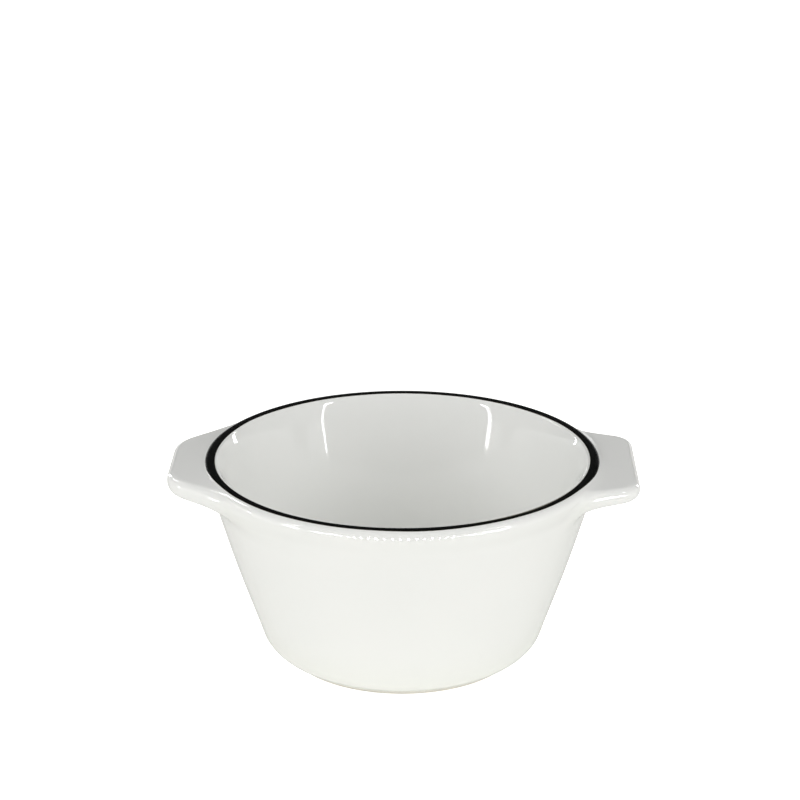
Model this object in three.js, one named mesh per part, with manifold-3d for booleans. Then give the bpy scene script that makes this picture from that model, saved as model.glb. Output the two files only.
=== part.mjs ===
// Round porcelain baking dish for one portion: a tapered bowl, two solid tab handles luted to
// its lip, a black band fired onto the lip and a low unglazed foot ring.
// Millimetres, +Z up. The origin is the centre of the foot on the table, and the handles lie along X.
import * as THREE from "three";
import { mergeVertices } from "three/addons/utils/BufferGeometryUtils.js";
import Module from "manifold-3d";

// Bowl
const HEIGHT = 51.9; // table to the crest of the lip
const RIM_RADIUS = 50.9; // line of the outer wall, met at the height of the crest
const BASE_RADIUS = 34.6; // line of the outer wall, met at the table
const WALL_THICKNESS = 4.2; // square to the wall
const WALL_BELLY = 0.3; // swell of the outer wall half-way up
const FLOOR_THICKNESS = 4.5;
const LIP_FLARE = 0.5; // how far the lip stands out from the line of the outer wall
const LIP_FLARE_HEIGHT = 7; // from the start of the flare up to the crest
const LIP_OUTER_ROUND = 1.7;
const LIP_INNER_ROUND = 0.9;
const BASE_ROUND = 7.2; // outer edge between wall and underside
const FLOOR_ROUND = 9; // inner edge between wall and floor

// Black band on the lip
const BAND_INSET = 0.9; // from the line of the outer wall to the band's outer edge
const BAND_WIDTH = 2.4;
const BAND_DEPTH = 0.4;

// Foot ring
const FOOT_RADIUS = 31;
const FOOT_WIDTH = 3;
const FOOT_HEIGHT = 1;
const FOOT_EDGE = 0.3; // bevel at the table

// Handles
const HANDLE_LENGTH = 8.5; // from the line of the outer wall to the tip
const HANDLE_DROP = 1; // from the crest of the lip down to the flat top of the handle
const HANDLE_ROOT_THICKNESS = 5.1;
const HANDLE_NOSE = 1.7; // how far the rounded edge runs in from the outline
const HANDLE_FLARE = 3.4; // length of the curve that eases each side into the lip
const ROOT_FILLET = 4; // radius of the concave edge between the underside and the wall
const LUTING_GAP = 0.3; // joint between a handle and the wall

// The two handles are shaped by hand, so they differ a little
const LEFT_TIP_HALF_WIDTH = 16.3; // from the middle to where the lines of tip and side cross
const LEFT_TIP_THICKNESS = 4.3;
const LEFT_CORNER = 11; // radius between tip and side
const LEFT_TAPER = 24; // degrees between each side and the handle's middle line
const RIGHT_TIP_HALF_WIDTH = 18.2;
const RIGHT_TIP_THICKNESS = 3.5;
const RIGHT_CORNER = 6.5;
const RIGHT_TAPER = 20;
const HANDLES = [
  {
    name: "left_handle",
    turn: Math.PI,
    tipHalfWidth: LEFT_TIP_HALF_WIDTH,
    tipThickness: LEFT_TIP_THICKNESS,
    corner: LEFT_CORNER,
    taperDegrees: LEFT_TAPER,
  },
  {
    name: "right_handle",
    turn: 0,
    tipHalfWidth: RIGHT_TIP_HALF_WIDTH,
    tipThickness: RIGHT_TIP_THICKNESS,
    corner: RIGHT_CORNER,
    taperDegrees: RIGHT_TAPER,
  },
];

// Fineness of the round shapes
const TURN_STEPS = 64; // round the dish
const ARC_DIVISIONS = 3; // each arc of a profile has twice as many steps
const HANDLE_STEPS = 40; // along a handle's outline
const UNDERSIDE_STEPS = 10; // under a handle, from its edge to its root
const SAME_POINT = 1e-4; // corners of facets closer than this are one corner

// Line of the wall in section: radius against height
const RIGHT_ANGLE = Math.PI / 2;
const WALL_SLOPE = (RIM_RADIUS - BASE_RADIUS) / HEIGHT;
const WALL_LEAN = Math.atan(WALL_SLOPE);
const LEAN_COS = Math.cos(WALL_LEAN);
const LEAN_SIN = Math.sin(WALL_LEAN);
const FLOOR_TOP = FOOT_HEIGHT + FLOOR_THICKNESS;
const wallRadius = (z) => BASE_RADIUS + WALL_SLOPE * z;
const innerRadius = (z) => wallRadius(z) - WALL_THICKNESS / LEAN_COS;

// Centres of the rounded edges, each tangent to a line of the wall, on its inner or its outer side
const INSIDE = -1;
const OUTSIDE = 1;
function tangentCentre(lineRadius, z, round, side) {
  return new THREE.Vector2(lineRadius(z) + (side * round) / LEAN_COS, z);
}
const flaredRadius = (z) => wallRadius(z) + LIP_FLARE;
const baseCentre = tangentCentre(wallRadius, FOOT_HEIGHT + BASE_ROUND, BASE_ROUND, INSIDE);
const lipOuterCentre = tangentCentre(flaredRadius, HEIGHT - LIP_OUTER_ROUND, LIP_OUTER_ROUND, INSIDE);
const lipInnerCentre = tangentCentre(innerRadius, HEIGHT - LIP_INNER_ROUND, LIP_INNER_ROUND, OUTSIDE);
const floorCentre = tangentCentre(innerRadius, FLOOR_TOP + FLOOR_ROUND, FLOOR_ROUND, INSIDE);

// Crest of the lip under the band, from the band's outer edge to its inner edge
const BAND_OUTER = RIM_RADIUS - BAND_INSET;
const BAND_INNER = BAND_OUTER - BAND_WIDTH;
const BAND_OUTER_ANGLE = Math.acos((BAND_OUTER - lipOuterCentre.x) / LIP_OUTER_ROUND);
function bandCrest(drop) {
  const crest = new THREE.Path();
  const outer = lipOuterCentre;
  const inner = lipInnerCentre;
  crest.absarc(outer.x, outer.y - drop, LIP_OUTER_ROUND, BAND_OUTER_ANGLE, RIGHT_ANGLE);
  crest.lineTo(Math.max(BAND_INNER, inner.x), HEIGHT - drop);
  if (BAND_INNER < inner.x) {
    const innerAngle = Math.acos((BAND_INNER - inner.x) / LIP_INNER_ROUND);
    crest.absarc(inner.x, inner.y - drop, LIP_INNER_ROUND, RIGHT_ANGLE, innerAngle);
  }
  return crest.getPoints(ARC_DIVISIONS);
}

// Outside of the bowl from the middle of its underside to the given angle of the lip, and grown by a gap
function bowlOutside(grow, lipAngle) {
  const outside = new THREE.Path();
  const base = baseCentre;
  const lip = lipOuterCentre;
  const lipRound = LIP_OUTER_ROUND + grow;
  const baseRound = BASE_ROUND + grow;
  const flareZ = HEIGHT - LIP_FLARE_HEIGHT;
  const bellyZ = (base.y + flareZ) / 2;
  const grownWall = (z, out) => new THREE.Vector2(wallRadius(z) + grow / LEAN_COS + out, z);
  const belly = grownWall(bellyZ, 2 * WALL_BELLY); // a control point lies twice as far out as the curve
  const flare = grownWall(flareZ, 0);
  const lipEnd = new THREE.Vector2(lip.x + lipRound * LEAN_COS, lip.y - lipRound * LEAN_SIN);
  const midZ = (flareZ + lipEnd.y) / 2;
  outside.moveTo(0, base.y - baseRound);
  outside.lineTo(base.x, base.y - baseRound);
  outside.absarc(base.x, base.y, baseRound, -RIGHT_ANGLE, -WALL_LEAN);
  outside.quadraticCurveTo(belly.x, belly.y, flare.x, flare.y);
  const flareStart = grownWall(midZ, 0);
  const flareEnd = grownWall(midZ, LIP_FLARE);
  outside.bezierCurveTo(flareStart.x, midZ, flareEnd.x, midZ, lipEnd.x, lipEnd.y);
  outside.absarc(lip.x, lip.y, lipRound, -WALL_LEAN, lipAngle);
  return outside;
}

// A profile turned round the dish's axis
function turned(profile) {
  return new THREE.LatheGeometry(profile, TURN_STEPS).rotateX(RIGHT_ANGLE);
}

function bowlGeometry() {
  const outside = bowlOutside(0, BAND_OUTER_ANGLE).getPoints(ARC_DIVISIONS);
  const groove = bandCrest(BAND_DEPTH);
  const bandInnerEdge = bandCrest(0).at(-1);
  const inside = new THREE.Path();
  const lip = lipInnerCentre;
  const lipStart = Math.acos(Math.min(0, (BAND_INNER - lip.x) / LIP_INNER_ROUND));
  inside.absarc(lip.x, lip.y, LIP_INNER_ROUND, lipStart, Math.PI - WALL_LEAN);
  inside.absarc(floorCentre.x, floorCentre.y, FLOOR_ROUND, -WALL_LEAN, -RIGHT_ANGLE, true);
  inside.lineTo(0, FLOOR_TOP);
  return turned([...outside, ...groove, bandInnerEdge, ...inside.getPoints(ARC_DIVISIONS)]);
}

function rimBandGeometry() {
  const top = bandCrest(0);
  const seat = bandCrest(BAND_DEPTH);
  return turned([seat[0], ...top, ...seat.reverse()]);
}

function footRingGeometry() {
  const inner = FOOT_RADIUS - FOOT_WIDTH;
  const ring = new THREE.Path();
  ring.moveTo(inner, FOOT_HEIGHT);
  ring.lineTo(inner, FOOT_EDGE);
  ring.lineTo(inner + FOOT_EDGE, 0);
  ring.lineTo(FOOT_RADIUS - FOOT_EDGE, 0);
  ring.lineTo(FOOT_RADIUS, FOOT_EDGE);
  ring.lineTo(FOOT_RADIUS, FOOT_HEIGHT);
  ring.lineTo(inner, FOOT_HEIGHT);
  return turned(ring.getPoints());
}

// Plan of a handle that points along +X, from one flare round the tip to the other
const HANDLE_TOP = HEIGHT - HANDLE_DROP;
const HANDLE_REACH = RIM_RADIUS + HANDLE_LENGTH;
const ROOT_RADIUS = wallRadius(HANDLE_TOP - HANDLE_ROOT_THICKNESS / 2); // wall at the middle of the root
function handlePlan({ tipHalfWidth, corner, taperDegrees }) {
  const taper = THREE.MathUtils.degToRad(taperDegrees);
  const cornerY = tipHalfWidth - corner * Math.tan((RIGHT_ANGLE - taper) / 2);
  const cornerX = HANDLE_REACH - corner;
  const side = new THREE.Vector2(-Math.cos(taper), Math.sin(taper));
  const tip = new THREE.Vector2(HANDLE_REACH, tipHalfWidth);
  const along = tip.dot(side);
  const toWall = -along - Math.sqrt(along ** 2 - tip.lengthSq() + ROOT_RADIUS ** 2);
  const meet = tip.clone().addScaledVector(side, toWall);
  const ease = tip.clone().addScaledVector(side, toWall - HANDLE_FLARE);
  const onWall = meet.clone().rotateAround(new THREE.Vector2(), HANDLE_FLARE / ROOT_RADIUS);
  const plan = new THREE.Path();
  plan.moveTo(onWall.x, -onWall.y);
  plan.quadraticCurveTo(meet.x, -meet.y, ease.x, -ease.y);
  plan.absarc(cornerX, -cornerY, corner, taper - RIGHT_ANGLE, 0);
  plan.absarc(cornerX, cornerY, corner, 0, RIGHT_ANGLE - taper);
  plan.lineTo(ease.x, ease.y);
  plan.quadraticCurveTo(meet.x, meet.y, onWall.x, onWall.y);
  return plan;
}

// Underside of a handle as height against radius: a line that rises outwards from the root,
// and a fillet tangent to that line and to the wall's line
function handleUnderside({ tipThickness }) {
  const rise = (HANDLE_ROOT_THICKNESS - tipThickness) / (HANDLE_REACH - ROOT_RADIUS);
  const tilt = Math.atan(rise);
  const line = (radius) => HANDLE_TOP - HANDLE_ROOT_THICKNESS + rise * (radius - ROOT_RADIUS);
  const nearWall = line(BASE_RADIUS + ROOT_FILLET / LEAN_COS) - ROOT_FILLET / Math.cos(tilt);
  const centre = tangentCentre(wallRadius, nearWall / (1 - rise * WALL_SLOPE), ROOT_FILLET, OUTSIDE);
  const onWall = centre.x - ROOT_FILLET * LEAN_COS;
  const onLine = centre.x - ROOT_FILLET * Math.sin(tilt);
  return (radius) => {
    if (radius > onLine) {
      return line(radius);
    }
    const across = centre.x - Math.max(radius, onWall);
    return centre.y + Math.sqrt(ROOT_FILLET ** 2 - across ** 2);
  };
}

// Section of a handle without its size: 0 to 1 across from the root to where the edge starts to round,
// 1 to 2 across the rounded edge, and 0 to 1 down through the thickness
function handleSection() {
  const section = new THREE.Shape();
  section.moveTo(0, 0);
  section.lineTo(1, 0);
  section.absellipse(1, 0.5, 1, 0.5, -RIGHT_ANGLE, RIGHT_ANGLE);
  for (let step = UNDERSIDE_STEPS - 1; step >= 0; step--) {
    section.lineTo(step / UNDERSIDE_STEPS, 1);
  }
  return section;
}

// The section carried along the plan, with its root further in than the wall at the foot of the fillet
const EMBEDDED_RADIUS = wallRadius(HANDLE_TOP - HANDLE_ROOT_THICKNESS - ROOT_FILLET) - HANDLE_NOSE;
function handleBlank(handle) {
  const plan = handlePlan(handle);
  const undersideZ = handleUnderside(handle);
  const blank = new THREE.ExtrudeGeometry(handleSection(), {
    depth: 1,
    steps: HANDLE_STEPS,
    bevelEnabled: false,
    curveSegments: ARC_DIVISIONS,
  });
  const places = blank.getAttribute("position");
  for (let i = 0; i < places.count; i++) {
    const across = places.getX(i);
    const along = THREE.MathUtils.clamp(places.getZ(i), 0, 1);
    const edge = plan.getPointAt(along);
    const tangent = plan.getTangentAt(along);
    const inwards = new THREE.Vector2(-tangent.y, tangent.x);
    const rounding = edge.clone().addScaledVector(inwards, HANDLE_NOSE);
    const root = rounding.clone().setLength(EMBEDDED_RADIUS);
    const place = across > 1 ? rounding.lerp(edge, across - 1) : root.lerp(rounding, across);
    const z = THREE.MathUtils.lerp(HANDLE_TOP, undersideZ(place.length()), places.getY(i));
    places.setXYZ(i, place.x, place.y, z);
  }
  return blank.rotateZ(handle.turn);
}

// Closed geometry as a solid that can be cut, and back again
const wasm = await Module();
wasm.setup();
function solidOf(geometry) {
  const bare = geometry.clone();
  bare.deleteAttribute("normal");
  bare.deleteAttribute("uv");
  const merged = mergeVertices(bare, SAME_POINT);
  const vertProperties = merged.getAttribute("position").array;
  const triVerts = new Uint32Array(merged.index.array);
  return new wasm.Manifold(new wasm.Mesh({ numProp: 3, vertProperties, triVerts }));
}
function geometryOf(solid) {
  const mesh = solid.getMesh();
  const geometry = new THREE.BufferGeometry();
  geometry.setAttribute("position", new THREE.BufferAttribute(mesh.vertProperties, 3));
  geometry.setIndex(new THREE.BufferAttribute(mesh.triVerts, 1));
  const faceted = geometry.toNonIndexed();
  faceted.computeVertexNormals();
  return faceted;
}

// A handle ends at the luting joint, one gap outside the wall
function handleGeometry(handle) {
  const outside = bowlOutside(LUTING_GAP, RIGHT_ANGLE);
  outside.lineTo(0, HEIGHT + LUTING_GAP);
  const keepOut = turned(outside.getPoints(ARC_DIVISIONS));
  return geometryOf(solidOf(handleBlank(handle)).subtract(solidOf(keepOut)));
}

const porcelain = () => new THREE.MeshStandardMaterial({ color: "#ecece8", roughness: 0.12 });
const blackGlaze = () => new THREE.MeshStandardMaterial({ color: "#0d0f0d", roughness: 0.25 });
const bareClay = () => new THREE.MeshStandardMaterial({ color: "#dcd9d0", roughness: 0.85 });

const dish = new THREE.Group();
function addPiece(name, geometry, material) {
  const piece = new THREE.Mesh(geometry, material);
  piece.name = name;
  dish.add(piece);
}
addPiece("bowl", bowlGeometry(), porcelain());
addPiece("rim_band", rimBandGeometry(), blackGlaze());
addPiece("foot_ring", footRingGeometry(), bareClay());
for (const handle of HANDLES) {
  addPiece(handle.name, handleGeometry(handle), porcelain());
}

export default dish;
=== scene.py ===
# Looks of a round porcelain baking dish for one portion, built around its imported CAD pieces
import math
from typing import NamedTuple

import bmesh
import bpy
import numpy as np
from mathutils import Euler, Matrix, Vector


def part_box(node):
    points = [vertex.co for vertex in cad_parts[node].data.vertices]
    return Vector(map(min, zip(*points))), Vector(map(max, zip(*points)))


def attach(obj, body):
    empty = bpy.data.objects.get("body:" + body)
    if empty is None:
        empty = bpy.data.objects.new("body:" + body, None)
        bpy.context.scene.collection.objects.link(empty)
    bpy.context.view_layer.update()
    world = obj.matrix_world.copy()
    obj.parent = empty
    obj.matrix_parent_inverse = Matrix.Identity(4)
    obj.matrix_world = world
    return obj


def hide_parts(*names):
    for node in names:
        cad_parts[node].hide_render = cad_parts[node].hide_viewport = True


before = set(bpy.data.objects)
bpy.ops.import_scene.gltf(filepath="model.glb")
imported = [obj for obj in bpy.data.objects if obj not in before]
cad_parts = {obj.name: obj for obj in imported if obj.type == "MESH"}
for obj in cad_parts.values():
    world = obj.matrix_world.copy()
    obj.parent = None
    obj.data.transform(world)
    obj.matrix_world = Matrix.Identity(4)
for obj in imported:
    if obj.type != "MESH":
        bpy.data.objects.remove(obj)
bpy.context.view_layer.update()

# Meshes are drawn in millimetres, and brought to metres when a piece is finished
MM = 0.001
FULL_TURN = 2 * math.pi
RIGHT_ANGLE = math.pi / 2


def box_mm(node):
    """Lowest and highest corner of a CAD piece, in millimetres."""
    low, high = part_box(node)
    return low / MM, high / MM


# Sizes that the CAD pieces give
CREST = box_mm("bowl")[1].z
BAND_OUTER = box_mm("rim_band")[1].x
FOOT_RADIUS = box_mm("foot_ring")[1].x
FOOT_HEIGHT = box_mm("foot_ring")[1].z
HANDLE_TOP = box_mm("right_handle")[1].z
HANDLE_REACH = box_mm("right_handle")[1].x

# Bowl
RIM_RADIUS = 50.9  # line of the outer wall, met at the height of the crest
BASE_RADIUS = 34.6  # line of the outer wall, met at the table
WALL_THICKNESS = 4.2
WALL_BELLY = 0.3
FLOOR_THICKNESS = 4.5
LIP_FLARE = 0.5
LIP_FLARE_HEIGHT = 7
LIP_OUTER_ROUND = 1.7
LIP_INNER_ROUND = 0.8
INNER_FLARE = 0.65  # how far the inside opens out just below the lip
INNER_FLARE_HEIGHT = 4.5
BASE_ROUND = 7.2
FLOOR_ROUND = 9

# Black band on the lip
BAND_WIDTH = 2.4
BAND_RISE = 0.07  # how far the fired band stands above the glaze
BAND_SINK = 0.05  # how far it has sunk into the glaze
BAND_EDGE_POWER = 6  # the higher, the steeper its edges
BAND_NARROWING = 0.6  # how much narrower the brush ran along the front

# Foot ring
FOOT_WIDTH = 3
FOOT_EDGE = 0.35
FOOT_SEAT = 0.3  # how far the ring reaches into the base

# Handles
HANDLE_ROOT_THICKNESS = 4.9
TOP_RISE = 0.72  # how far the top sweeps up to the band
HANDLE_NOSE = 2.1  # how far the rounded edge runs in from the outline
NOSE_TOP_POWER = 2.6  # above 2, the upper edge is tighter than an ellipse
NOSE_LOW_POWER = 2
JOINT_UNDER = 6.2  # how far the soft joint with the wall spreads below a handle
JOINT_TOP = 0.45  # the same at the lip
JOINT_BAND = 0.6  # over this length it fades out towards the band
JOINT_START = 48.0  # height from which the joint passes to its spread at the lip
PATCH_FOOT = 36.5  # height on the wall where a handle's skin starts
PATCH_LIP_DEGREES = 64  # angle round the lip where it ends, under the band
PATCH_HALF_DEGREES = 58
JOINT_FADE_DEGREES = 20  # over this angle the joint fades out at both sides
ROOT_DEPTH = 0.5  # how deep a handle's root lies in the wall
FEATHER = 0.008  # how far the thin edge of the joint lies under the bowl's skin

# Fineness of the meshes: columns round a piece, and rows along each stretch of a section
BOWL_COLUMNS = 320
UNDER_ROWS = 10
BASE_ROWS = 14
WALL_ROWS = 76
LIP_ROWS = 28
CREST_ROWS = 6
INNER_LIP_ROWS = 10
INSIDE_ROWS = 60
CORNER_ROWS = 18
FLOOR_ROWS = 12
BAND_ROWS = 24
FOOT_ROWS = 6
HANDLE_COLUMNS = 320
HANDLE_ROWS = 96
HANDLE_LIP_ROWS = 18
WELD = 1e-4
SHARP_DEGREES = 40

# Section of the wall
WALL_SLOPE = (RIM_RADIUS - BASE_RADIUS) / CREST
LEAN = math.atan(WALL_SLOPE)
LEAN_DEGREES = math.degrees(LEAN)
FLOOR_TOP = FOOT_HEIGHT + FLOOR_THICKNESS
FLARE_START = CREST - LIP_FLARE_HEIGHT
INNER_FLARE_START = CREST - INNER_FLARE_HEIGHT
INNER_OFFSET = WALL_THICKNESS / math.cos(LEAN)
HEAD_ROUNDS = 20  # rounds of the search for the inner wall's upper end


def line_radius(z):
    """Leaning line of the outer wall at a height."""
    return BASE_RADIUS + WALL_SLOPE * z


def rounding_centre(line_offset, z, radius):
    """Centre of a rounded edge at a height, tangent to the wall's line moved out by an offset."""
    return Vector((line_radius(z) + line_offset - radius / math.cos(LEAN), z))


def inner_radius(z):
    """Inner wall at a height: its leaning line, which opens out below the lip."""
    share = np.maximum((z - INNER_FLARE_START) / INNER_FLARE_HEIGHT, 0)
    return line_radius(z) - INNER_OFFSET + INNER_FLARE * share**2


def inner_lean(z):
    """Angle between the inner wall and the vertical at a height."""
    share = max((z - INNER_FLARE_START) / INNER_FLARE_HEIGHT, 0)
    return math.atan(WALL_SLOPE + 2 * INNER_FLARE / INNER_FLARE_HEIGHT * share)


def inner_head():
    """Height where the inner wall runs into the inner rounding of the lip."""
    z = CREST - LIP_INNER_ROUND
    for _ in range(HEAD_ROUNDS):
        z = CREST - LIP_INNER_ROUND * (1 - math.sin(inner_lean(z)))
    return z


INNER_HEAD = inner_head()
INNER_HEAD_LEAN = inner_lean(INNER_HEAD)
BASE_CENTRE = rounding_centre(0, FOOT_HEIGHT + BASE_ROUND, BASE_ROUND)
LIP_CENTRE = rounding_centre(LIP_FLARE, CREST - LIP_OUTER_ROUND, LIP_OUTER_ROUND)
LIP_INNER_CENTRE = Vector(
    (inner_radius(INNER_HEAD) + LIP_INNER_ROUND * math.cos(INNER_HEAD_LEAN), CREST - LIP_INNER_ROUND)
)
FLOOR_CENTRE = rounding_centre(-INNER_OFFSET, FLOOR_TOP + FLOOR_ROUND, FLOOR_ROUND)
WALL_FOOT = BASE_CENTRE.y - BASE_ROUND * math.sin(LEAN)
WALL_HEAD = LIP_CENTRE.y - LIP_OUTER_ROUND * math.sin(LEAN)
INNER_FOOT = FLOOR_CENTRE.y - FLOOR_ROUND * math.sin(LEAN)
ROOT_RADIUS = line_radius(HANDLE_TOP - HANDLE_ROOT_THICKNESS / 2)


def ease(share):
    """Smooth step from 0 to 1."""
    share = np.clip(share, 0, 1)
    return share * share * (3 - 2 * share)


def outer_radius(z):
    """Outer wall at a height: its leaning line, a slight belly and the flare of the lip."""
    belly = np.clip((z - WALL_FOOT) / (FLARE_START - WALL_FOOT), 0, 1)
    flare = ease((z - FLARE_START) / (WALL_HEAD - FLARE_START))
    return line_radius(z) + WALL_BELLY * np.sin(math.pi * belly) ** 2 + LIP_FLARE * flare


def arc(centre, radius, start_degrees, end_degrees, steps):
    """Points of an arc in a section, as radius and height."""
    angles = np.radians(np.linspace(start_degrees, end_degrees, steps + 1))
    return [(centre.x + radius * math.cos(a), centre.y + radius * math.sin(a)) for a in angles]


def straight(start, end, steps):
    """Points of a straight stretch without its two ends."""
    shares = np.linspace(0, 1, steps + 1)[1:-1]
    return [tuple(Vector(start).lerp(Vector(end), share)) for share in shares]


def wall_line(radius_at, start, end, steps):
    """Points of the outer or inner wall between two heights."""
    return [(float(radius_at(z)), float(z)) for z in np.linspace(start, end, steps + 1)]


# Making and finishing meshes
def draw_section(bm, points, closed=False):
    """A chain of vertices and edges in the XZ plane."""
    verts = [bm.verts.new((radius, 0, z)) for radius, z in points]
    ends = verts[1:] + verts[:1] if closed else verts[1:]
    return verts + [bm.edges.new(pair) for pair in zip(verts, ends)]


def turn_section(bm, section, steps):
    """Turns a section all the way round the dish's axis."""
    bmesh.ops.spin(
        bm, geom=section, cent=(0, 0, 0), axis=(0, 0, 1), angle=FULL_TURN, steps=steps, use_merge=True
    )
    bmesh.ops.remove_doubles(bm, verts=bm.verts, dist=WELD)
    bmesh.ops.recalc_face_normals(bm, faces=bm.faces)


def finish_piece(bm, name, material, node):
    """Brings a mesh to metres and makes it a piece that stands for a CAD node."""
    bmesh.ops.scale(bm, vec=(MM, MM, MM), verts=bm.verts)
    for face in bm.faces:
        face.smooth = True
    for edge in bm.edges:
        edge.smooth = edge.calc_face_angle(0) < math.radians(SHARP_DEGREES)
    mesh = bpy.data.meshes.new(name)
    bm.to_mesh(mesh)
    bm.free()
    mesh.materials.append(material)
    piece = bpy.data.objects.new(name, mesh)
    bpy.context.scene.collection.objects.link(piece)
    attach(piece, "root")
    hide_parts(node)


# Bowl
POOL = "glaze_pool"  # attribute: how much clear glaze has gathered
POOL_SPREAD = 6.0
JOINT_POOL = 0.3  # the most that gathers at a handle's joint


def glazed_bowl(material):
    """The bowl as one closed turned skin, from the middle of its underside over the lip to its floor."""
    under = (0, FOOT_HEIGHT)
    base = arc(BASE_CENTRE, BASE_ROUND, -90, -LEAN_DEGREES, BASE_ROWS)
    wall = wall_line(outer_radius, WALL_FOOT, WALL_HEAD, WALL_ROWS)[1:-1]
    lip = arc(LIP_CENTRE, LIP_OUTER_ROUND, -LEAN_DEGREES, 90, LIP_ROWS)
    inner_lip_end = 180 - math.degrees(INNER_HEAD_LEAN)
    inner_lip = arc(LIP_INNER_CENTRE, LIP_INNER_ROUND, 90, inner_lip_end, INNER_LIP_ROWS)
    inside = wall_line(inner_radius, INNER_HEAD, INNER_FOOT, INSIDE_ROWS)[1:-1]
    corner = arc(FLOOR_CENTRE, FLOOR_ROUND, -LEAN_DEGREES, -90, CORNER_ROWS)
    middle = (0, FLOOR_TOP)
    section = [under, *straight(under, base[0], UNDER_ROWS), *base, *wall, *lip]
    section += [*straight(lip[-1], inner_lip[0], CREST_ROWS), *inner_lip, *inside]
    section += [*corner, *straight(corner[-1], middle, FLOOR_ROWS), middle]
    bm = bmesh.new()
    pool = bm.verts.layers.float.new(POOL)
    turn_section(bm, draw_section(bm, section), BOWL_COLUMNS)
    corner_middle = Vector(corner[len(corner) // 2])
    for vert in bm.verts:
        apart = (Vector((vert.co.xy.length, vert.co.z)) - corner_middle).length
        vert[pool] = math.exp(-((apart / POOL_SPREAD) ** 2))
    finish_piece(bm, "glazed_bowl", material, "bowl")


# Handles
class Handle(NamedTuple):
    """What sets one handle apart from the other; both are drawn pointing along +X."""

    piece: str
    node: str
    turned: float
    reach: float
    tip_half_width: float  # from the middle to where the lines of tip and side cross
    tip_thickness: float
    corner: float  # radius between tip and side
    taper: float  # between each side and the middle line
    top_sweep: float  # the higher, the closer to the lip its top starts to sweep up


LEFT_HANDLE = Handle(
    piece="glazed_left_handle",
    node="left_handle",
    turned=math.radians(180.75),
    reach=HANDLE_REACH - 0.4,
    tip_half_width=13.5,
    tip_thickness=5.0,
    corner=12,
    taper=math.radians(40),
    top_sweep=2,
)
RIGHT_HANDLE = Handle(
    piece="glazed_right_handle",
    node="right_handle",
    turned=math.radians(-0.75),
    reach=HANDLE_REACH,
    tip_half_width=18.2,
    tip_thickness=4.2,
    corner=6.5,
    taper=math.radians(20),
    top_sweep=6,
)


def bowl_field(places):
    """Distance of places outside the bowl's outer wall and lip."""
    radius = np.hypot(places[:, 0], places[:, 1])
    z = places[:, 2]
    out = radius - LIP_CENTRE.x
    up = z - LIP_CENTRE.y
    from_wall = (radius - outer_radius(z)) * math.cos(LEAN)
    from_lip = np.hypot(out, up) - LIP_OUTER_ROUND
    return np.where(up * math.cos(LEAN) + out * math.sin(LEAN) > 0, from_lip, from_wall)


def outside_plan(handle, x, y):
    """Distance of places outside a handle's outline as seen from above."""
    corner_x = handle.reach - handle.corner
    corner_y = handle.tip_half_width - handle.corner * math.tan((RIGHT_ANGLE - handle.taper) / 2)
    sine, cosine = math.sin(handle.taper), math.cos(handle.taper)
    to_side = (x - handle.reach) * sine + (y - handle.tip_half_width) * cosine
    out = x - corner_x
    across = y - corner_y
    at_corner = (across > 0) & (out * cosine > across * sine)
    return np.where(
        at_corner, np.hypot(out, across) - handle.corner, np.maximum(x - handle.reach, to_side)
    )


def handle_field(handle, places):
    """About the distance of places outside a handle."""
    x, y, z = places[:, 0], np.abs(places[:, 1]), places[:, 2]
    radius = np.hypot(x, y)
    slant = (HANDLE_ROOT_THICKNESS - handle.tip_thickness) / (handle.reach - ROOT_RADIUS)
    underside = HANDLE_TOP - HANDLE_ROOT_THICKNESS + slant * (radius - ROOT_RADIUS)
    inwards = np.clip((handle.reach - radius) / (handle.reach - BAND_OUTER), 0, 1)
    top = HANDLE_TOP + TOP_RISE * inwards**handle.top_sweep
    half = (top - underside) / 2
    up = (z - underside) / half - 1
    out = np.maximum(outside_plan(handle, x, y) / HANDLE_NOSE + 1, 0)
    power = np.where(up > 0, NOSE_TOP_POWER, NOSE_LOW_POWER)
    return ((out**power + np.abs(up) ** power) ** (1 / power) - 1) * half


def joint_fill(handle, places):
    """How much the soft joint fills each place, as in a cubic smooth union, and the field of bowl and
    handle without it."""
    height = (places[:, 2] - JOINT_START) / (CREST - JOINT_START)
    spread = JOINT_UNDER + (JOINT_TOP - JOINT_UNDER) * ease(height)
    tab = handle_field(handle, places)
    wall = bowl_field(places) + FEATHER
    near = np.maximum(1 - np.abs(tab - wall) / spread, 0)
    aside = np.degrees(np.arctan2(np.abs(places[:, 1]), places[:, 0]))
    faded = ease((PATCH_HALF_DEGREES - aside) / JOINT_FADE_DEGREES)
    beside_band = ease(1 - (np.hypot(places[:, 0], places[:, 1]) - BAND_OUTER) / JOINT_BAND)
    faded *= 1 - beside_band * ease((places[:, 2] - HANDLE_TOP) / JOINT_BAND)
    return faded * near**3 * spread / 6, np.minimum(tab, wall)


def joint_field(handle, places):
    """Distance outside the bowl and a handle grown together."""
    fill, apart = joint_fill(handle, places)
    return apart - fill


PROBE = 0.01  # step for measuring a field's slope
FLATTEST = 0.05  # least slope, squared, that a move divides by


def settle(handle, verts, rounds):
    """Moves vertices along the slope of the joint's field until they lie where it is zero."""
    places = np.array([vert.co for vert in verts])
    probes = PROBE * np.eye(3)
    for _ in range(rounds):
        rises = [joint_field(handle, places + p) - joint_field(handle, places - p) for p in probes]
        slope = np.stack(rises, axis=1) / (2 * PROBE)
        steepness = np.maximum((slope**2).sum(axis=1), FLATTEST)
        places -= slope * (joint_field(handle, places) / steepness)[:, None]
    for vert, place in zip(verts, places):
        vert.co = place
    return places


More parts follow.
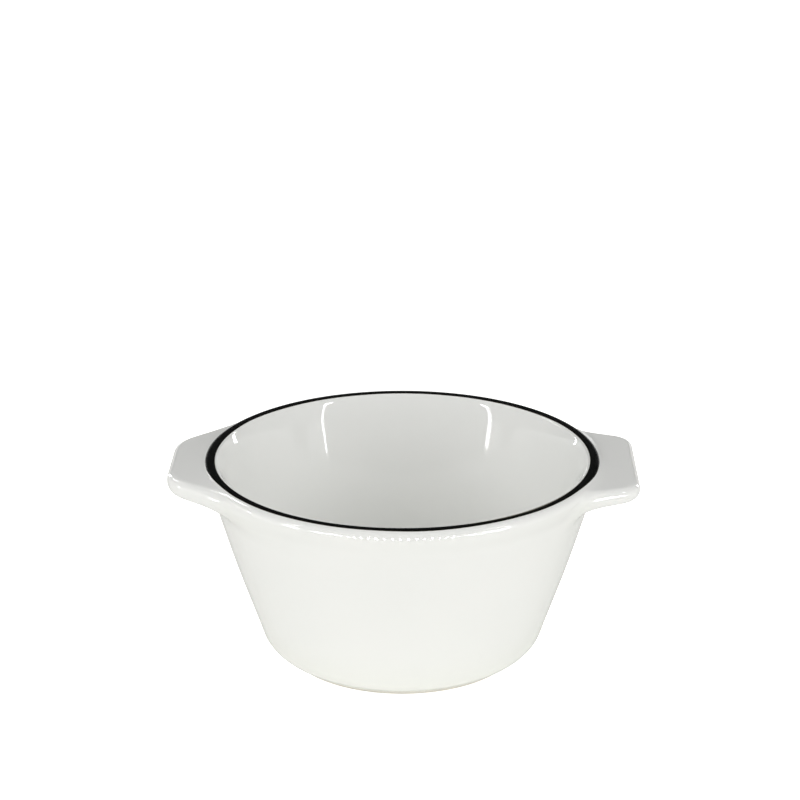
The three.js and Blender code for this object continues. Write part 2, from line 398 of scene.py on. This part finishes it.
# Rough section of a handle from its foot on the wall to the lip: at each share of the rows,
# the share of the way out to the tip and the height above the underside in thicknesses
SECTION_ROWS = (0.0, 0.2, 0.36, 0.54, 0.72, 0.92, 1.0)
SECTION_OUT = (0.0, 0.3, 0.8, 1.0, 0.8, 0.1, 0.0)
SECTION_UP = (-1.2, -0.05, 0.0, 0.5, 1.0, 1.0, 1.12)
PULL_START = 4.0  # over this length from the wall, the rows pass from even spacing to the section's
SETTLE_ROUNDS = 24
RELAX_ROUNDS = 3
RELAX_FACTOR = 0.35
RELAX_SETTLE_ROUNDS = 4


def pull_out(handle, verts):
    """First guess of a handle's skin: the wall's rows pulled out towards the plan of the handle."""
    places = np.array([vert.co for vert in verts])
    radius = np.hypot(places[:, 0], places[:, 1])
    angle = np.arctan2(places[:, 1], places[:, 0])
    z = places[:, 2]
    sine, cosine = math.sin(handle.taper), math.cos(handle.taper)
    side = handle.reach * sine + handle.tip_half_width * cosine
    to_side = side / (np.cos(angle) * sine + np.abs(np.sin(angle)) * cosine)
    out = np.maximum(np.minimum(handle.reach / np.cos(angle), to_side) - ROOT_RADIUS, 0)
    rows = (z - z.min()) / (z.max() - z.min())
    pulled_radius = radius + out * np.interp(rows, SECTION_ROWS, SECTION_OUT)
    thickness = HANDLE_ROOT_THICKNESS
    pulled_z = HANDLE_TOP - thickness + thickness * np.interp(rows, SECTION_ROWS, SECTION_UP)
    share = ease(out / PULL_START)
    radius += share * (pulled_radius - radius)
    z += share * (pulled_z - z)
    for vert, turned, far, height in zip(verts, angle, radius, z):
        vert.co = (far * math.cos(turned), far * math.sin(turned), height)


def tab_handle(handle, material):
    """A tab handle whose skin runs out of the bowl's wall and lip in a soft joint."""
    section = wall_line(outer_radius, PATCH_FOOT, WALL_HEAD, HANDLE_ROWS)
    section += arc(LIP_CENTRE, LIP_OUTER_ROUND, -LEAN_DEGREES, PATCH_LIP_DEGREES, HANDLE_LIP_ROWS)[1:]
    bm = bmesh.new()
    pool = bm.verts.layers.float.new(POOL)
    drawn = draw_section(bm, section)
    half_sweep = math.radians(PATCH_HALF_DEGREES)
    bmesh.ops.rotate(bm, verts=bm.verts, cent=(0, 0, 0), matrix=Matrix.Rotation(-half_sweep, 3, "Z"))
    bmesh.ops.spin(
        bm,
        geom=drawn,
        cent=(0, 0, 0),
        axis=(0, 0, 1),
        angle=2 * half_sweep,
        steps=HANDLE_COLUMNS,
        use_merge=False,
    )
    extruded = bmesh.ops.extrude_face_region(bm, geom=bm.faces[:], use_keep_orig=True)["geom"]
    skin = [part for part in extruded if isinstance(part, bmesh.types.BMVert)]
    skinned = set(skin)
    for vert in bm.verts:
        if vert not in skinned:
            vert.co.xy *= 1 - ROOT_DEPTH / vert.co.xy.length
    pull_out(handle, skin)
    settle(handle, skin, SETTLE_ROUNDS)
    inner_skin = [v for v in skin if all(edge.other_vert(v) in skinned for edge in v.link_edges)]
    for _ in range(RELAX_ROUNDS):
        bmesh.ops.smooth_vert(
            bm, verts=inner_skin, factor=RELAX_FACTOR, use_axis_x=True, use_axis_y=True, use_axis_z=True
        )
        places = settle(handle, skin, RELAX_SETTLE_ROUNDS)
    fill = joint_fill(handle, places)[0]
    for vert, share in zip(skin, fill / fill.max()):
        vert[pool] = JOINT_POOL * share
    bmesh.ops.recalc_face_normals(bm, faces=bm.faces)
    bmesh.ops.rotate(bm, verts=bm.verts, cent=(0, 0, 0), matrix=Matrix.Rotation(handle.turned, 3, "Z"))
    finish_piece(bm, handle.piece, material, handle.node)


# Band and foot
DEPTH = "glaze_depth"  # attribute: 1 where the black glaze is thick, towards 0 where it runs thin
THIN_EDGE = 0.12  # over this length its edges run thin
THIN_FRONT = 0.95  # the same along the inner edge where the brush ran nearly dry
THIN_MIDDLE = math.radians(-52)  # the middle of that stretch, and half its length
THIN_HALF = math.radians(38)
OUTER_WANDER = 0.04  # how far the hand-drawn edges stray, in waves with a count, a share and a phase
OUTER_WAVES = ((3, 1.0, 1.0), (7, 0.6, 0.0), (17, 0.4, 2.0))
INNER_WANDER = 0.02
INNER_WAVES = ((2, 1.0, 2.2), (5, 0.6, 0.7), (13, 0.4, 0.0))
FRONT_START = 0.2  # where the narrower stretch of the band begins, as a share of the way to the front
FRONT_BLEND = 0.3
RELIEF = 0.2  # the band is a little wider again at the very front
RELIEF_MIDDLE = math.radians(-80)
RELIEF_HALF = math.radians(18)
BACK_WRAP = 0.3  # how far the inner edge runs over the lip's inner rounding along the back
BACK_START = 0.35
BACK_BLEND = 0.4
LEFT_WRAP = 0.22  # the same at the left
LEFT_MIDDLE = math.radians(168)
LEFT_HALF = math.radians(38)


def bump(angle, middle, half):
    """1 at the middle of a stretch of the rim, smoothly down to 0 at its ends."""
    apart = abs((angle - middle + math.pi) % FULL_TURN - math.pi)
    return float(ease(1 - apart / half))


def stray(waves, angle):
    """Where a hand-drawn edge strays to at an angle round the rim, in shares of its wander."""
    return sum(share * math.sin(count * angle + phase) for count, share, phase in waves)


def band_edges(angle):
    """Radii of the inner and outer edge of the hand-drawn band at an angle round the rim."""
    narrowed = BAND_NARROWING * float(ease((-math.sin(angle) - FRONT_START) / FRONT_BLEND))
    relief = RELIEF * bump(angle, RELIEF_MIDDLE, RELIEF_HALF)
    wrapped = BACK_WRAP * float(ease((math.sin(angle) - BACK_START) / BACK_BLEND))
    wrapped = max(wrapped, LEFT_WRAP * bump(angle, LEFT_MIDDLE, LEFT_HALF))
    inner = BAND_OUTER - BAND_WIDTH - wrapped + INNER_WANDER * stray(INNER_WAVES, angle)
    return inner, BAND_OUTER - narrowed + relief + OUTER_WANDER * stray(OUTER_WAVES, angle)


def lip_height(radius):
    """Height of the lip's upper side at a radius."""
    if radius > LIP_CENTRE.x:
        return LIP_CENTRE.y + math.sqrt(LIP_OUTER_ROUND**2 - (radius - LIP_CENTRE.x) ** 2)
    if radius < LIP_INNER_CENTRE.x:
        return LIP_INNER_CENTRE.y + math.sqrt(LIP_INNER_ROUND**2 - (radius - LIP_INNER_CENTRE.x) ** 2)
    return CREST


def rim_band(material):
    """The black band: a low domed line of glaze that follows the lip, with hand-drawn edges."""
    nominal_inner = BAND_OUTER - BAND_WIDTH
    radii = np.linspace(BAND_OUTER, nominal_inner, BAND_ROWS + 1)
    across = np.linspace(-1, 1, BAND_ROWS + 1)
    rise = BAND_RISE * (1 - np.abs(across) ** BAND_EDGE_POWER)
    top = [(r, lip_height(r) + up) for r, up in zip(radii, rise)]
    under = [(r, lip_height(r) - BAND_SINK) for r in radii[::-1]]
    bm = bmesh.new()
    depth = bm.verts.layers.float.new(DEPTH)
    turn_section(bm, draw_section(bm, top + under, closed=True), BOWL_COLUMNS)
    for vert in bm.verts:
        radius = vert.co.xy.length
        angle = math.atan2(vert.co.y, vert.co.x)
        above = vert.co.z - lip_height(radius)
        inner, outer = band_edges(angle)
        share = (radius - nominal_inner) / BAND_WIDTH
        moved = inner + share * (outer - inner)
        vert.co.xy *= moved / radius
        vert.co.z = lip_height(moved) + above
        thin = THIN_EDGE + (THIN_FRONT - THIN_EDGE) * bump(angle, THIN_MIDDLE, THIN_HALF)
        vert[depth] = min((moved - inner) / thin, 1) * min((outer - moved) / THIN_EDGE, 1)
    finish_piece(bm, "fired_rim_band", material, "rim_band")


def foot_ring(material):
    """The bare foot: a low ring with softly rounded edges, seated in the base."""
    inner = FOOT_RADIUS - FOOT_WIDTH
    outer_edge = Vector((FOOT_RADIUS - FOOT_EDGE, FOOT_EDGE))
    inner_edge = Vector((inner + FOOT_EDGE, FOOT_EDGE))
    drop = Vector((0, FOOT_EDGE))
    section = [(inner, FOOT_HEIGHT + FOOT_SEAT)]
    section += arc(inner_edge, FOOT_EDGE, 180, 270, FOOT_ROWS)
    section += straight(inner_edge - drop, outer_edge - drop, FOOT_ROWS)
    section += arc(outer_edge, FOOT_EDGE, -90, 0, FOOT_ROWS)
    section += [(FOOT_RADIUS, FOOT_HEIGHT + FOOT_SEAT)]
    bm = bmesh.new()
    turn_section(bm, draw_section(bm, section, closed=True), BOWL_COLUMNS)
    finish_piece(bm, "bare_foot_ring", material, "foot_ring")


# Materials, with the sizes and depths of their patterns in millimetres
CLOUD_SIZE = 22
GLOSS_SIZE = 6
RIPPLE_SIZE = 9
RIPPLE_DEPTH = 0.012
MOTTLE_SIZE = 1.2
GRAIN_SIZE = 0.5
GRAIN_DEPTH = 0.05
POOL_TINT = 0.6  # how far gathered glaze passes to its own colour
MIX_FIRST, MIX_SECOND, MIX_COLOUR = 6, 7, 2  # the colour sockets of a Mix node
WHITE = (1, 1, 1, 1)


def colour(text):
    """Linear colour of an sRGB hex value."""
    parts = [int(text[i : i + 2], 16) / 255 for i in (1, 3, 5)]
    return [*(p / 12.92 if p <= 0.04045 else ((p + 0.055) / 1.055) ** 2.4 for p in parts), 1]


def add_node(tree, kind, inputs=None, **settings):
    """Adds a node with its settings, and with a value or another node's socket at each input."""
    node = tree.nodes.new(kind)
    for name, value in settings.items():
        setattr(node, name, value)
    for name, value in (inputs or {}).items():
        if isinstance(value, bpy.types.NodeSocket):
            tree.links.new(value, node.inputs[name])
        else:
            node.inputs[name].default_value = value
    return node


def start_material(name):
    """A new material without nodes, and its tree."""
    material = bpy.data.materials.new(name)
    material.use_nodes = True
    material.node_tree.nodes.clear()
    return material, material.node_tree


def finish_material(tree, inputs):
    """Ends a material with a surface that takes these inputs."""
    surface = add_node(tree, "ShaderNodeBsdfPrincipled", inputs)
    add_node(tree, "ShaderNodeOutputMaterial", {"Surface": surface.outputs["BSDF"]})


def noise(tree, size, detail):
    """A noise pattern over the piece, whose features have this size in millimetres."""
    place = add_node(tree, "ShaderNodeTexCoord").outputs["Object"]
    inputs = {"Vector": place, "Scale": 1 / (size * MM), "Detail": detail}
    return add_node(tree, "ShaderNodeTexNoise", inputs).outputs["Fac"]


def attribute(tree, name):
    """A float that the mesh carries."""
    return add_node(tree, "ShaderNodeAttribute", attribute_name=name).outputs["Fac"]


def mix_colours(tree, share, first, second):
    """Passes from the first colour to the second as a share goes from 0 to 1."""
    inputs = {"Factor": share, MIX_FIRST: first, MIX_SECOND: second}
    return add_node(tree, "ShaderNodeMix", inputs, data_type="RGBA").outputs[MIX_COLOUR]


def map_range(tree, value, start, end, low, high, **settings):
    """Passes from the low to the high value as another value goes from a start to an end."""
    inputs = {"Value": value, "From Min": start, "From Max": end, "To Min": low, "To Max": high}
    return add_node(tree, "ShaderNodeMapRange", inputs, **settings).outputs["Result"]


def fine_relief(tree, height, depth):
    """Normals of a relief that is this many millimetres deep."""
    inputs = {"Height": height, "Strength": 1, "Distance": depth * MM}
    return add_node(tree, "ShaderNodeBump", inputs).outputs["Normal"]


def glazed_porcelain():
    """Hard porcelain under a clear glaze: an even, slightly warm white with a wet gloss, faint clouds
    in the body, a faint green where the glaze has gathered and a slow ripple in the reflections."""
    material, tree = start_material("glazed_porcelain")
    body = mix_colours(tree, noise(tree, CLOUD_SIZE, 3), colour("#f7f7f4"), colour("#f4f5f2"))
    gathered = map_range(tree, attribute(tree, POOL), 0, 1, 0, POOL_TINT)
    finish_material(
        tree,
        {
            "Base Color": mix_colours(tree, gathered, body, colour("#eef0e6")),
            "Roughness": map_range(tree, noise(tree, GLOSS_SIZE, 2), 0, 1, 0.01, 0.025),
            "Normal": fine_relief(tree, noise(tree, RIPPLE_SIZE, 1), RIPPLE_DEPTH),
            "IOR": 1.5,
        },
    )
    return material


def black_rim_glaze():
    """Black glaze fired onto the lip: nearly black, olive where it runs thin at its edges, with a softer
    gloss than the clear glaze."""
    material, tree = start_material("black_rim_glaze")
    mottle = noise(tree, MOTTLE_SIZE, 3)
    body = mix_colours(tree, mottle, colour("#020302"), colour("#090a09"))
    covered = map_range(tree, attribute(tree, DEPTH), 0.1, 0.9, 0, 1, interpolation_type="SMOOTHSTEP")
    finish_material(
        tree,
        {
            "Base Color": mix_colours(tree, covered, colour("#7d7a68"), body),
            "Roughness": map_range(tree, mottle, 0, 1, 0.18, 0.28),
            "IOR": 1.4,
        },
    )
    return material


def bare_porcelain():
    """Fired porcelain without glaze, ground flat: a dry, chalky off-white with a fine grain."""
    material, tree = start_material("bare_porcelain")
    grain = noise(tree, GRAIN_SIZE, 4)
    finish_material(
        tree,
        {
            "Base Color": mix_colours(tree, grain, colour("#d2cec4"), colour("#e6e3da")),
            "Roughness": 0.85,
            "Normal": fine_relief(tree, grain, GRAIN_DEPTH),
        },
    )
    return material


# Studio, in metres
WORLD_SIDES = 0.38  # the world's soft light at the horizon, at its middle height and at the top
WORLD_MIDDLE = 0.29
WORLD_TOP = 0.45
WORLD_MIDDLE_HEIGHT = 0.5
FLOOR_LIFT = 0.75  # how far the floor is lifted to white for the camera, and in reflections
FLOOR_MIRRORED_LIFT = 0.1
FLOOR_BOUNCE = 0.27  # how far it glows onto the dish
FLOOR_HALF = 6.0
LAMPS = {  # name: place, width, height and watts
    "front_lamp": ((0.0, -0.9, 0.3), 0.9, 0.5, 2.4),
    "left_lamp": ((-0.8, 0.0, 0.5), 0.7, 0.5, 2.3),
    "right_lamp": ((0.8, 0.0, 0.5), 0.7, 0.5, 2.3),
    "high_lamp": ((0.0, -0.6, 0.7), 0.5, 0.4, 0.62),
}
AIM = (0, 0, 0.03)

# Lights that are mirrored in the glaze: a frame round the opening that the photograph was taken through,
# a row on the floor in front of it, and strips in the corners behind the dish
FRAME_Y = -0.23
FRAME_HIGH = 0.335
STRIPS = {  # name: place, height of the lowest and highest light, pitch, width and height of a light
    "left_strip": ((-0.432, FRAME_Y), 0.133, FRAME_HIGH, 0.0024, (0.042, 0.0011)),
    "right_strip": ((0.368, FRAME_Y), 0.127, FRAME_HIGH, 0.0012, (0.02, 0.0006)),
    "back_left_strip": ((-0.42, 0.5), 0.05, 0.31, 0.004, (0.028, 0.004)),
    "back_right_strip": ((0.42, 0.42), 0.05, 0.27, 0.004, (0.05, 0.004)),
    "left_corner_strip": ((-0.36, 0.233), 0.22, 0.44, 0.004, (0.04, 0.004)),
}
STRIP_GLOW = 30.0
LED_Y = -0.15
LED_Z = 0.03
LED_LEFT = -0.134
LED_RIGHT = 0.156
LED_PITCH = 0.0096
LED_LIGHT = (0.0027, 0.06)
LED_GLOW = 40.0
CARDS = {  # name: middle, width, height and turn about the vertical
    "left_dash": ((-0.23, LED_Y, LED_Z), 0.1, 0.03, 0.0),
    "right_dash": ((0.195, LED_Y, LED_Z), 0.062, 0.03, 0.0),
    "left_hook": ((-0.395, FRAME_Y, FRAME_HIGH), 0.075, 0.02, 0.0),
    "right_hook": ((0.335, FRAME_Y, FRAME_HIGH), 0.075, 0.02, 0.0),
    "left_bar": ((-0.5, -0.026, 0.05), 0.052, 0.02, RIGHT_ANGLE),
}
DARK_GLOW = 0.015
DARK_BEHIND = 0.02
CEILING_Z = 0.45
CEILING_FRONT = -0.9
CEILING_HALF = 3.0

# The photograph's camera, in metres and degrees, with its lens and sensor in millimetres
CAMERA_PLACE = (0.00818, -0.49993, 0.24373)
CAMERA_TILT = 70.503
CAMERA_YAW = 1.0
CAMERA_LENS = 94.72
CAMERA_SENSOR = 36
CAMERA_NEAR = 0.01


def seen_directly(tree):
    """1 for rays that show the background: straight from the camera, mirrored or through glass."""
    path = add_node(tree, "ShaderNodeLightPath")
    camera_or_mirror = add_node(
        tree, "ShaderNodeMath", {0: path.outputs["Is Camera Ray"], 1: path.outputs["Is Glossy Ray"]}
    )
    return add_node(
        tree,
        "ShaderNodeMath",
        {0: camera_or_mirror.outputs[0], 1: path.outputs["Is Transmission Ray"]},
        use_clamp=True,
    ).outputs[0]


def white_world():
    """White all round where it is seen, and a soft light that changes from the horizon to the top."""
    world = bpy.data.worlds.new("white_studio")
    world.use_nodes = True
    tree = world.node_tree
    tree.nodes.clear()
    direction = add_node(tree, "ShaderNodeTexCoord").outputs["Generated"]
    height = add_node(tree, "ShaderNodeSeparateXYZ", {"Vector": direction}).outputs["Z"]
    lower = map_range(tree, height, 0, WORLD_MIDDLE_HEIGHT, WORLD_SIDES, WORLD_MIDDLE)
    upper = map_range(tree, height, WORLD_MIDDLE_HEIGHT, 1, 0, WORLD_TOP - WORLD_MIDDLE)
    strength = add_node(tree, "ShaderNodeMath", {0: lower, 1: upper})
    soft = add_node(tree, "ShaderNodeBackground", {"Color": WHITE, "Strength": strength.outputs[0]})
    white = add_node(tree, "ShaderNodeBackground", {"Color": WHITE, "Strength": 1})
    mixed = add_node(
        tree,
        "ShaderNodeMixShader",
        {0: seen_directly(tree), 1: soft.outputs[0], 2: white.outputs[0]},
    )
    add_node(tree, "ShaderNodeOutputWorld", {"Surface": mixed.outputs[0]})
    return world


def stage_object(name, bm, material):
    """Makes a mesh part of the studio."""
    mesh = bpy.data.meshes.new(name)
    bm.to_mesh(mesh)
    bm.free()
    mesh.materials.append(material)
    thing = bpy.data.objects.new(name, mesh)
    bpy.context.scene.collection.objects.link(thing)
    return thing


def only_mirrored(thing):
    """Leaves a studio object visible in reflections alone."""
    thing.visible_camera = False
    thing.visible_diffuse = False
    thing.visible_transmission = False
    thing.visible_shadow = False


def white_floor():
    """A white floor that takes the dish's shadow, lifted to the white of the background."""
    material, tree = start_material("white_studio_floor")
    mirrored = add_node(tree, "ShaderNodeLightPath").outputs["Is Glossy Ray"]
    lift = map_range(tree, mirrored, 0, 1, FLOOR_LIFT, FLOOR_MIRRORED_LIFT)
    strength = map_range(tree, seen_directly(tree), 0, 1, FLOOR_BOUNCE, lift)
    glow = add_node(tree, "ShaderNodeEmission", {"Strength": strength})
    paint = add_node(tree, "ShaderNodeBsdfDiffuse", {"Color": colour("#e8e8e4")})
    both = add_node(tree, "ShaderNodeAddShader", {0: glow.outputs[0], 1: paint.outputs[0]})
    add_node(tree, "ShaderNodeOutputMaterial", {"Surface": both.outputs[0]})
    bm = bmesh.new()
    bmesh.ops.create_grid(bm, x_segments=1, y_segments=1, size=FLOOR_HALF)
    stage_object("studio_floor", bm, material)


def emission(name, strength):
    """A plain glowing material for lights, or for dark cards."""
    material, tree = start_material(name)
    glow = add_node(tree, "ShaderNodeEmission", {"Color": WHITE, "Strength": strength})
    add_node(tree, "ShaderNodeOutputMaterial", {"Surface": glow.outputs[0]})
    return material


def add_card(bm, place, width, height, turn=0.0, tilt=RIGHT_ANGLE):
    """A card that stands upright across the dish's front, is turned about the vertical or lies flat."""
    turned = Matrix.Rotation(turn, 4, "Z") @ Matrix.Rotation(tilt, 4, "X")
    sized = Matrix.Translation(place) @ turned @ Matrix.Diagonal((width, height, 1, 1))
    bmesh.ops.create_grid(bm, x_segments=1, y_segments=1, size=0.5, matrix=sized)


def mirrored_card(name, material, *placed, **turned):
    """One card that is seen in reflections alone."""
    bm = bmesh.new()
    add_card(bm, *placed, **turned)
    only_mirrored(stage_object(name, bm, material))


def mirrored_row(name, material, start, end, pitch, light):
    """A row of small lights that is seen in reflections alone."""
    bm = bmesh.new()
    along = Vector(end) - Vector(start)
    for step in range(int(along.length / pitch) + 1):
        add_card(bm, Vector(start) + along.normalized() * pitch * step, *light)
    only_mirrored(stage_object(name, bm, material))


def mirrored_lights():
    """The lights round the opening, on the floor and in the corners, with a dark opening and ceiling."""
    strips = emission("strip_lights", STRIP_GLOW)
    for name, (place, low, high, pitch, light) in STRIPS.items():
        mirrored_row(name, strips, (*place, low), (*place, high), pitch, light)
    lights = emission("led_lights", LED_GLOW)
    ends = (LED_LEFT, LED_Y, LED_Z), (LED_RIGHT, LED_Y, LED_Z)
    mirrored_row("floor_leds", lights, *ends, LED_PITCH, LED_LIGHT)
    for name, card in CARDS.items():
        mirrored_card(name, lights, *card)
    dark = emission("dark_card", DARK_GLOW)
    left, right = STRIPS["left_strip"][0][0], STRIPS["right_strip"][0][0]
    opening = ((left + right) / 2, FRAME_Y - DARK_BEHIND, CEILING_Z / 2)
    mirrored_card("dark_opening", dark, opening, right - left, CEILING_Z)
    length = CEILING_HALF - CEILING_FRONT
    ceiling = (0, CEILING_FRONT + length / 2, CEILING_Z)
    mirrored_card("dark_ceiling", dark, ceiling, 2 * CEILING_HALF, length, tilt=0.0)


def soft_lamp(name, place, width, height, watts):
    """A large soft lamp that lights the dish and isn't mirrored in it."""
    lamp = bpy.data.lights.new(name, "AREA")
    lamp.shape = "RECTANGLE"
    lamp.size = width
    lamp.size_y = height
    lamp.energy = watts
    holder = bpy.data.objects.new(name, lamp)
    holder.location = place
    holder.rotation_euler = (Vector(AIM) - Vector(place)).to_track_quat("-Z", "Y").to_euler()
    holder.visible_camera = False
    holder.visible_glossy = False
    bpy.context.scene.collection.objects.link(holder)


def photograph_camera():
    """The camera at the photograph's viewing angle."""
    lens = bpy.data.cameras.new("camera")
    lens.lens = CAMERA_LENS
    lens.sensor_width = CAMERA_SENSOR
    lens.clip_start = CAMERA_NEAR
    camera = bpy.data.objects.new("camera", lens)
    camera.location = CAMERA_PLACE
    camera.rotation_euler = Euler((math.radians(CAMERA_TILT), 0, math.radians(CAMERA_YAW)))
    bpy.context.scene.collection.objects.link(camera)
    bpy.context.scene.camera = camera


porcelain = glazed_porcelain()
glazed_bowl(porcelain)
tab_handle(LEFT_HANDLE, porcelain)
tab_handle(RIGHT_HANDLE, porcelain)
rim_band(black_rim_glaze())
foot_ring(bare_porcelain())

photograph_camera()
bpy.context.scene.world = white_world()
white_floor()
mirrored_lights()
for lamp_name, lamp_setup in LAMPS.items():
    soft_lamp(lamp_name, *lamp_setup)
bpy.context.scene.view_settings.view_transform = "Standard"
